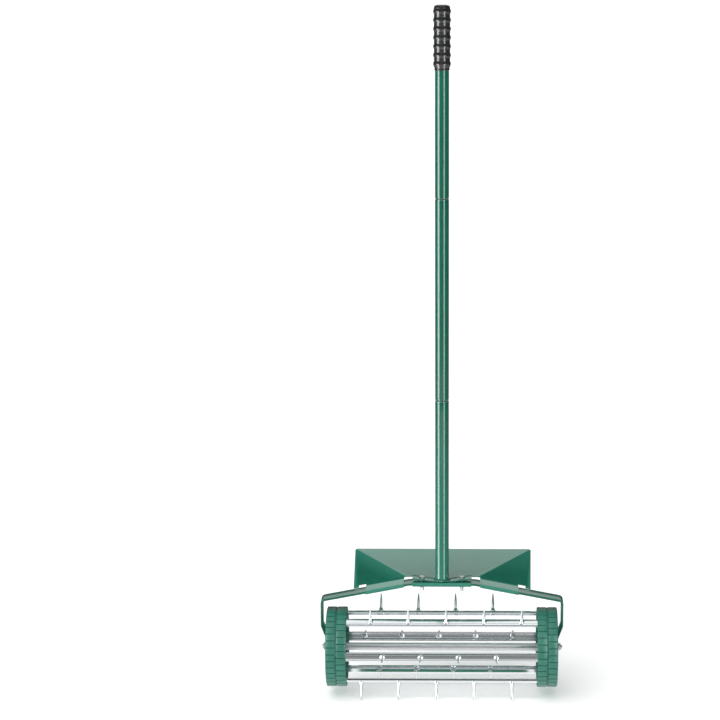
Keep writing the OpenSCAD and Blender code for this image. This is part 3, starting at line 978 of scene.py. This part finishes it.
def tines():
    nail, collar = tine_shape(), collar_shape()
    collars = Shape()
    for i in range(BAR_COUNT):
        turn = Matrix.Rotation(math.radians(FIRST_BAR + 60 * i), 4, "X")
        group = Shape()
        for k, x in enumerate(tine_places(i)):
            lean = Matrix.Rotation(math.radians(1.2 * math.sin(7 * i + 3 * k)), 4, "Y")
            about = Matrix.Translation((x, 0, BAR_R)) @ lean @ Matrix.Translation((0, 0, -BAR_R))
            group.merge(nail, turn @ about)
            collars.merge(collar, turn @ about)
        name = f"tines_{i + 1}"
        group.make(name + "_shown", "drum", [name], "zinc_tine", [ZINC_TINE], sharp=32)
    collars.make("tine_collars_shown", "drum", ["tine_collars"], "zinc_tine", [ZINC_TINE], sharp=40)


# ---- build --------------------------------------------------------------------------------------

tube_piece("lower_tube", FOOT_TOP, LOWER_TOP, False)
tube_piece("middle_tube", LOWER_TOP - SPIGOT_LEN, MIDDLE_TOP, True)
tube_piece("upper_tube", MIDDLE_TOP - SPIGOT_LEN, UPPER_TOP, True)
grip()
yoke()
fender()
foot_plate()
foot_weld()
foot_fasteners()
axle()
wheels()
for bar in range(BAR_COUNT):
    tine_bar(bar)
tines()


# ---- stage, light and camera --------------------------------------------------------------------

def floor():
    mesh = bpy.data.meshes.new("floor")
    half = 30.0
    corners = [(-half, -half, 0), (half, -half, 0), (half, half, 0), (-half, half, 0)]
    mesh.from_pydata(corners, [], [(0, 1, 2, 3)])
    made = bpy.data.objects.new("floor", mesh)
    bpy.context.collection.objects.link(made)
    m = Nodes("floor_paper", Roughness=0.9, Emission_Color=(1, 1, 1, 1), Emission_Strength=0.31)
    m.colour(m.ramp(m.noise(3.0), [(0.3, (0.93, 0.93, 0.93)), (0.7, (0.95, 0.95, 0.95))]))
    mesh.materials.append(m.material)
    made.visible_glossy = False


def area_light(name, place, target, size, power):
    """A soft box that is only seen in reflections."""
    data = bpy.data.lights.new(name, "AREA")
    data.energy = power
    data.shape = "RECTANGLE"
    data.size, data.size_y = size
    made = bpy.data.objects.new(name, data)
    made.location = place
    made.rotation_euler = (Vector(target) - Vector(place)).to_track_quat("-Z", "Y").to_euler()
    made.visible_diffuse = False
    made.visible_camera = False
    bpy.context.collection.objects.link(made)
    return made


def background(tree, strength, colour=None, source=None):
    made = tree.nodes.new("ShaderNodeBackground")
    made.inputs["Strength"].default_value = strength
    if source:
        tree.links.new(source, made.inputs["Color"])
    else:
        made.inputs["Color"].default_value = (*colour, 1)
    return made.outputs["Background"]


def grey_ramp(tree, source, stops):
    made = tree.nodes.new("ShaderNodeValToRGB")
    elements = made.color_ramp.elements
    while len(elements) < len(stops):
        elements.new(0.5)
    for element, (place, value) in zip(elements, stops):
        element.position = place
        element.color = (value * min(1.0, 0.6 + value * 3), value, value, 1)
    tree.links.new(source, made.inputs["Fac"])
    return made.outputs["Color"]


def by_elevation(stops):
    """Turns degrees above the horizon into places on a ramp from straight down to straight up."""
    return [((degrees + 90) / 180, value) for degrees, value in stops]


def world():
    """White to the camera, soft light from the left on dull surfaces, a dark studio in reflections."""
    made = bpy.data.worlds.new("studio")
    bpy.context.scene.world = made
    made.use_nodes = True
    tree = made.node_tree
    tree.nodes.clear()
    new, link = tree.nodes.new, tree.links.new
    coords, split = new("ShaderNodeTexCoord"), new("ShaderNodeSeparateXYZ")
    link(coords.outputs["Generated"], split.inputs["Vector"])
    elevation = new("ShaderNodeMath")
    elevation.operation = "ARCSINE"
    link(split.outputs["Z"], elevation.inputs[0])
    up = new("ShaderNodeMapRange")
    up.inputs["From Min"].default_value = -math.pi / 2
    up.inputs["From Max"].default_value = math.pi / 2
    link(elevation.outputs["Value"], up.inputs["Value"])
    room = grey_ramp(tree, up.outputs["Result"], by_elevation(
        [(-90, 1.0), (-34, 0.9), (-20, 0.3), (-9, 0.08), (0, 0.05), (40, 0.04), (60, 0.08), (70, 0.9),
         (90, 1.15)]))
    backdrop = grey_ramp(tree, up.outputs["Result"], by_elevation(
        [(-90, 0.0), (10, 0.0), (16, 0.85), (32, 0.98), (36, 0.0), (90, 0.0)]))
    behind = new("ShaderNodeMapRange")
    behind.inputs["From Min"].default_value = 0.77
    behind.inputs["From Max"].default_value = 0.85
    link(split.outputs["Y"], behind.inputs["Value"])
    blend = new("ShaderNodeMix")
    blend.data_type = "RGBA"
    blend.blend_type = "LIGHTEN"
    link(behind.outputs["Result"], blend.inputs["Factor"])
    link(room, blend.inputs["A"])
    link(backdrop, blend.inputs["B"])
    seen = background(tree, 1.05, (1, 1, 1))
    across = new("ShaderNodeMapRange")
    across.inputs["From Min"].default_value = -1
    link(split.outputs["X"], across.inputs["Value"])
    sides = grey_ramp(tree, across.outputs["Result"], [(0.0, 0.72), (0.5, 0.52), (1.0, 0.16)])
    even = background(tree, 1.0, source=sides)
    mirrored = background(tree, 1.0, source=blend.outputs["Result"])
    path, output = new("ShaderNodeLightPath"), new("ShaderNodeOutputWorld")
    glossy, direct = new("ShaderNodeMixShader"), new("ShaderNodeMixShader")
    link(path.outputs["Is Glossy Ray"], glossy.inputs["Fac"])
    link(even, glossy.inputs[1])
    link(mirrored, glossy.inputs[2])
    link(path.outputs["Is Camera Ray"], direct.inputs["Fac"])
    link(glossy.outputs["Shader"], direct.inputs[1])
    link(seen, direct.inputs[2])
    link(direct.outputs["Shader"], output.inputs["Surface"])


def sun(name, direction, strength, spread):
    data = bpy.data.lights.new(name, "SUN")
    data.energy = strength
    data.angle = math.radians(spread)
    made = bpy.data.objects.new(name, data)
    made.rotation_euler = Vector(direction).to_track_quat("-Z", "Y").to_euler()
    made.visible_glossy = False
    bpy.context.collection.objects.link(made)


def camera():
    away, height = 4.228, 1.346
    tilt, turn = math.radians(10.63), math.radians(0.7)
    data = bpy.data.cameras.new("camera")
    data.lens = 116.2
    data.sensor_width = 36
    data.shift_x = -0.1139
    made = bpy.data.objects.new("camera", data)
    made.location = AXLE + Vector((away * math.sin(turn), -away * math.cos(turn), height))
    forward = Vector((-math.sin(turn) * math.cos(tilt), math.cos(turn) * math.cos(tilt), -math.sin(tilt)))
    made.rotation_euler = forward.to_track_quat("-Z", "Y").to_euler()
    bpy.context.collection.objects.link(made)
    bpy.context.scene.camera = made


floor()
world()
camera()
sun("key", (0.35, 0.45, -1.0), 1.35, 60)
sun("front_fill", (0.4, 1.0, -0.3), 0.3, 50)
area_light("strip_left", (-1.37, -0.83, 0.42), (0, 0, 0.42), (0.85, 2.1), 48)
area_light("strip_right", (0.96, -1.28, 0.42), (0, 0, 0.42), (0.46, 2.1), 22)
area_light("front_top", (0, -1.4, 1.35), (0, 0, 0.1), (1.6, 0.45), 1.3)
area_light("front_low", (0, -1.7, 0.13), (0, 0, 0.13), (1.8, 0.22), 1.1)
bpy.context.scene.view_settings.view_transform = "Standard"
